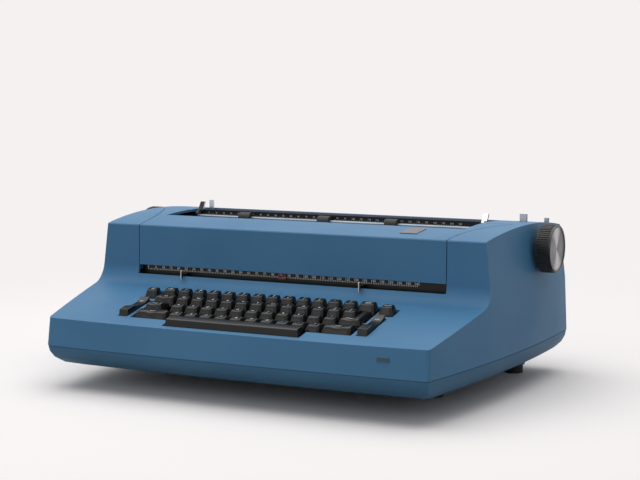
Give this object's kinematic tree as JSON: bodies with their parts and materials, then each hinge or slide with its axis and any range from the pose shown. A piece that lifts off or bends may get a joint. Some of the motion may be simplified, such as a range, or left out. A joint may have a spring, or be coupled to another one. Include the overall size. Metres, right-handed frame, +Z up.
{
  "type": "electric typewriter",
  "caption": "Electric typewriter with a type ball, blue case, tipping lid, platen with side knobs, margin scale and a sprung keyboard.",
  "frame": {"origin": "centre of the base at the level of the feet, midway between the knob faces and between the front and rear of the case", "axes": "+X to the operator's right along the platen, +Y to the rear, +Z up"},
  "size_m": [0.547, 0.375, 0.1921],
  "materials": {
    "shell_paint": "fine-textured satin blue paint",
    "pan_paint": "fine-textured satin blue paint",
    "table_paint": "satin dark blue paint",
    "badge_metal": "satin, bare",
    "foot_rubber": "matte",
    "plain_steel": "ground",
    "frame_steel": "zinc plated, dull",
    "cast_alloy": "cast and machined",
    "motor_paint": "satin dark grey paint",
    "belt_rubber": "matte",
    "black_plastic": "moulded, matte",
    "red_plastic": "moulded, glossy",
    "type_plating": "satin nickel plated",
    "platen_rubber": "ground matte",
    "knob_plastic": "ribbed grip",
    "spun_aluminium": "radially brushed",
    "black_paint": "satin black paint",
    "bright_chrome": "polished",
    "scale_black": "satin black with white figures",
    "white_paint": "white paint",
    "key_plastic": "fine matte dark grey"
  },
  "bodies": {
    "case": {"bottom_pan": "pan_paint", "top_shell": "shell_paint", "paper_table": "table_paint", "rubber_feet": "foot_rubber", "case_screws": "plain_steel", "cord_bushing": "black_plastic", "power_frame": "frame_steel", "motor": "motor_paint", "drive_belt": "belt_rubber", "carrier_rail": "plain_steel", "paper_deflector": "frame_steel", "margin_scale": "scale_black", "margin_rack": "plain_steel", "keyboard_frame": "frame_steel", "key_fulcrum_rod": "plain_steel"},
    "lid": {"lid": "shell_paint", "lid_badge": "badge_metal"},
    "platen": {"platen": "platen_rubber", "platen_knobs": "knob_plastic", "knob_inlays": "spun_aluminium"},
    "carrier": {"carrier": "cast_alloy", "carrier_pointer": "red_plastic", "ribbon_cartridge": "black_plastic"},
    "shift_keys": {"shift_left": "key_plastic", "shift_right": "key_plastic"},
    "motor_pulley": {"motor_pulley": "plain_steel"},
    "drive_shaft": {"drive_shaft": "plain_steel"},
    "print_shaft": {"print_shaft": "plain_steel"},
    "tilt_rocker": {"tilt_rocker": "plain_steel"},
    "type_element": {"type_element": "type_plating"},
    "feed_rolls_front": {"feed_rolls_front": "platen_rubber"},
    "feed_rolls_rear": {"feed_rolls_rear": "platen_rubber"},
    "paper_bail": {"paper_bail": "black_paint"},
    "bail_rollers": {"bail_rollers": "platen_rubber"},
    "paper_release_lever": {"paper_release_lever": "bright_chrome"},
    "copy_control_lever": {"copy_control_lever": "bright_chrome"},
    "line_space_lever": {"line_space_lever": "bright_chrome"},
    "margin_stop_left": {"margin_stop_left": "white_paint"},
    "margin_stop_right": {"margin_stop_right": "white_paint"},
    "key_column_1": {"key_column_1": "key_plastic"},
    "key_column_2": {"key_column_2": "key_plastic"},
    "key_column_3": {"key_column_3": "key_plastic"},
    "key_column_4": {"key_column_4": "key_plastic"},
    "key_column_5": {"key_column_5": "key_plastic"},
    "key_column_6": {"key_column_6": "key_plastic"},
    "key_column_7": {"key_column_7": "key_plastic"},
    "key_column_8": {"key_column_8": "key_plastic"},
    "key_column_9": {"key_column_9": "key_plastic"},
    "key_column_10": {"key_column_10": "key_plastic"},
    "key_column_11": {"key_column_11": "key_plastic"},
    "space_bar": {"space_bar": "key_plastic"},
    "shift_lock": {"shift_lock": "key_plastic"},
    "tab_key": {"tab_key": "key_plastic"},
    "express_key": {"express_key": "key_plastic"},
    "margin_release_key": {"margin_release_key": "key_plastic"},
    "backspace_key": {"backspace_key": "key_plastic"},
    "return_key": {"return_key": "key_plastic"},
    "index_key": {"index_key": "key_plastic"},
    "tab_set_rocker": {"tab_set_rocker": "key_plastic"},
    "power_rocker": {"power_rocker": "key_plastic"}
  },
  "joints": [
    {"name": "lid_tip", "type": "hinge", "parent": "case", "child": "lid", "pos_m": [0, -0.0479, 0.13], "axis": [1, 0, 0], "range_deg": [0, 80]},
    {"name": "platen_spin", "type": "hinge", "parent": "case", "child": "platen", "pos_m": [0, 0.0905, 0.155], "axis": [1, 0, 0], "continuous": true},
    {"name": "feed_front_spin", "type": "hinge", "parent": "case", "child": "feed_rolls_front", "pos_m": [0, 0.07424, 0.13562], "axis": [1, 0, 0], "continuous": true},
    {"name": "feed_rear_spin", "type": "hinge", "parent": "case", "child": "feed_rolls_rear", "pos_m": [0, 0.10676, 0.13562], "axis": [1, 0, 0], "continuous": true},
    {"name": "bail_swing", "type": "hinge", "parent": "case", "child": "paper_bail", "pos_m": [0, 0.0745, 0.15], "axis": [1, 0, 0], "range_deg": [0, 15]},
    {"name": "bail_roller_spin", "type": "hinge", "parent": "paper_bail", "child": "bail_rollers", "pos_m": [0, 0.07359, 0.17515], "axis": [1, 0, 0], "continuous": true},
    {"name": "paper_release_swing", "type": "hinge", "parent": "case", "child": "paper_release_lever", "pos_m": [0, 0.1105, 0.15], "axis": [1, 0, 0], "range_deg": [-8, 8]},
    {"name": "copy_control_swing", "type": "hinge", "parent": "case", "child": "copy_control_lever", "pos_m": [0, 0.1105, 0.15], "axis": [1, 0, 0], "range_deg": [-8, 8]},
    {"name": "line_space_swing", "type": "hinge", "parent": "case", "child": "line_space_lever", "pos_m": [0, 0.1455, 0.128], "axis": [1, 0, 0], "range_deg": [-8, 8]},
    {"name": "margin_left_slide", "type": "slide", "parent": "case", "child": "margin_stop_left", "axis": [1, 0, 0], "range_m": [-0.053, 0.19]},
    {"name": "margin_right_slide", "type": "slide", "parent": "case", "child": "margin_stop_right", "axis": [1, 0, 0], "range_m": [-0.19, 0.062]},
    {"name": "carrier_travel", "type": "slide", "parent": "case", "child": "carrier", "axis": [1, 0, 0], "range_m": [-0.182, 0.166]},
    {"name": "element_tilt", "type": "hinge", "parent": "carrier", "child": "tilt_rocker", "pos_m": [-0.0074, 0.047, 0.1299], "axis": [1, 0, 0], "range_deg": [-6, 6]},
    {"name": "element_turn", "type": "hinge", "parent": "tilt_rocker", "child": "type_element", "pos_m": [-0.0074, 0.047, 0.155], "axis": [0, 0, 1], "range_deg": [-180, 180]},
    {"name": "motor_spin", "type": "hinge", "parent": "case", "child": "motor_pulley", "pos_m": [0, 0.1105, 0.076], "axis": [1, 0, 0], "continuous": true},
    {"name": "drive_spin", "type": "hinge", "parent": "case", "child": "drive_shaft", "pos_m": [0, 0.0275, 0.062], "axis": [1, 0, 0], "continuous": true},
    {"name": "print_spin", "type": "hinge", "parent": "case", "child": "print_shaft", "pos_m": [0, 0.0175, 0.11405], "axis": [1, 0, 0], "continuous": true},
    {"name": "keys_1_press", "type": "hinge", "parent": "case", "child": "key_column_1", "pos_m": [0, -0.0225, 0.088], "axis": [1, 0, 0], "range_deg": [0, 1.8], "stiffness_Nm_per_rad": 1, "springref_deg": -5.73},
    {"name": "keys_2_press", "type": "hinge", "parent": "case", "child": "key_column_2", "pos_m": [0, -0.0225, 0.088], "axis": [1, 0, 0], "range_deg": [0, 1.8], "stiffness_Nm_per_rad": 1, "springref_deg": -5.73},
    {"name": "keys_3_press", "type": "hinge", "parent": "case", "child": "key_column_3", "pos_m": [0, -0.0225, 0.088], "axis": [1, 0, 0], "range_deg": [0, 1.8], "stiffness_Nm_per_rad": 1, "springref_deg": -5.73},
    {"name": "keys_4_press", "type": "hinge", "parent": "case", "child": "key_column_4", "pos_m": [0, -0.0225, 0.088], "axis": [1, 0, 0], "range_deg": [0, 1.8], "stiffness_Nm_per_rad": 1, "springref_deg": -5.73},
    {"name": "keys_5_press", "type": "hinge", "parent": "case", "child": "key_column_5", "pos_m": [0, -0.0225, 0.088], "axis": [1, 0, 0], "range_deg": [0, 1.8], "stiffness_Nm_per_rad": 1, "springref_deg": -5.73},
    {"name": "keys_6_press", "type": "hinge", "parent": "case", "child": "key_column_6", "pos_m": [0, -0.0225, 0.088], "axis": [1, 0, 0], "range_deg": [0, 1.8], "stiffness_Nm_per_rad": 1, "springref_deg": -5.73},
    {"name": "keys_7_press", "type": "hinge", "parent": "case", "child": "key_column_7", "pos_m": [0, -0.0225, 0.088], "axis": [1, 0, 0], "range_deg": [0, 1.8], "stiffness_Nm_per_rad": 1, "springref_deg": -5.73},
    {"name": "keys_8_press", "type": "hinge", "parent": "case", "child": "key_column_8", "pos_m": [0, -0.0225, 0.088], "axis": [1, 0, 0], "range_deg": [0, 1.8], "stiffness_Nm_per_rad": 1, "springref_deg": -5.73},
    {"name": "keys_9_press", "type": "hinge", "parent": "case", "child": "key_column_9", "pos_m": [0, -0.0225, 0.088], "axis": [1, 0, 0], "range_deg": [0, 1.8], "stiffness_Nm_per_rad": 1, "springref_deg": -5.73},
    {"name": "keys_10_press", "type": "hinge", "parent": "case", "child": "key_column_10", "pos_m": [0, -0.0225, 0.088], "axis": [1, 0, 0], "range_deg": [0, 1.8], "stiffness_Nm_per_rad": 1, "springref_deg": -5.73},
    {"name": "keys_11_press", "type": "hinge", "parent": "case", "child": "key_column_11", "pos_m": [0, -0.0225, 0.088], "axis": [1, 0, 0], "range_deg": [0, 1.8], "stiffness_Nm_per_rad": 1, "springref_deg": -5.73},
    {"name": "shift_press", "type": "hinge", "parent": "case", "child": "shift_keys", "pos_m": [0, -0.0225, 0.088], "axis": [1, 0, 0], "range_deg": [0, 1.8], "stiffness_Nm_per_rad": 0.8, "springref_deg": -5.73},
    {"name": "shift_lock_press", "type": "hinge", "parent": "case", "child": "shift_lock", "pos_m": [0, -0.0225, 0.088], "axis": [1, 0, 0], "range_deg": [0, 1.8], "stiffness_Nm_per_rad": 0.8, "springref_deg": -5.73},
    {"name": "tab_press", "type": "hinge", "parent": "case", "child": "tab_key", "pos_m": [0, -0.0225, 0.088], "axis": [1, 0, 0], "range_deg": [0, 1.8], "stiffness_Nm_per_rad": 0.8, "springref_deg": -5.73},
    {"name": "express_press", "type": "hinge", "parent": "case", "child": "express_key", "pos_m": [0, -0.0225, 0.088], "axis": [1, 0, 0], "range_deg": [0, 1.8], "stiffness_Nm_per_rad": 0.8, "springref_deg": -5.73},
    {"name": "margin_release_press", "type": "hinge", "parent": "case", "child": "margin_release_key", "pos_m": [0, -0.0225, 0.088], "axis": [1, 0, 0], "range_deg": [0, 1.8], "stiffness_Nm_per_rad": 0.8, "springref_deg": -5.73},
    {"name": "backspace_press", "type": "hinge", "parent": "case", "child": "backspace_key", "pos_m": [0, -0.0225, 0.088], "axis": [1, 0, 0], "range_deg": [0, 1.8], "stiffness_Nm_per_rad": 0.8, "springref_deg": -5.73},
    {"name": "return_press", "type": "hinge", "parent": "case", "child": "return_key", "pos_m": [0, -0.0225, 0.088], "axis": [1, 0, 0], "range_deg": [0, 1.8], "stiffness_Nm_per_rad": 0.8, "springref_deg": -5.73},
    {"name": "index_press", "type": "hinge", "parent": "case", "child": "index_key", "pos_m": [0, -0.0225, 0.088], "axis": [1, 0, 0], "range_deg": [0, 1.8], "stiffness_Nm_per_rad": 0.8, "springref_deg": -5.73},
    {"name": "space_press", "type": "hinge", "parent": "case", "child": "space_bar", "pos_m": [0, -0.1075, 0.058], "axis": [1, 0, 0], "range_deg": [0, 3.8], "stiffness_Nm_per_rad": 0.6, "springref_deg": -6.88},
    {"name": "tab_set_rock", "type": "hinge", "parent": "case", "child": "tab_set_rocker", "pos_m": [0, -0.1335, 0.081], "axis": [1, 0, 0], "range_deg": [-5, 5]},
    {"name": "power_rock", "type": "hinge", "parent": "case", "child": "power_rocker", "pos_m": [0, -0.1335, 0.081], "axis": [1, 0, 0], "range_deg": [-5, 5]}
  ],
  "couplings": [
    {"joint": "feed_front_spin", "follows": "platen_spin", "ratio": -3.1667},
    {"joint": "feed_rear_spin", "follows": "platen_spin", "ratio": -3.1667},
    {"joint": "motor_spin", "follows": "drive_spin", "ratio": 3},
    {"joint": "print_spin", "follows": "drive_spin", "ratio": -1.3043}
  ]
}
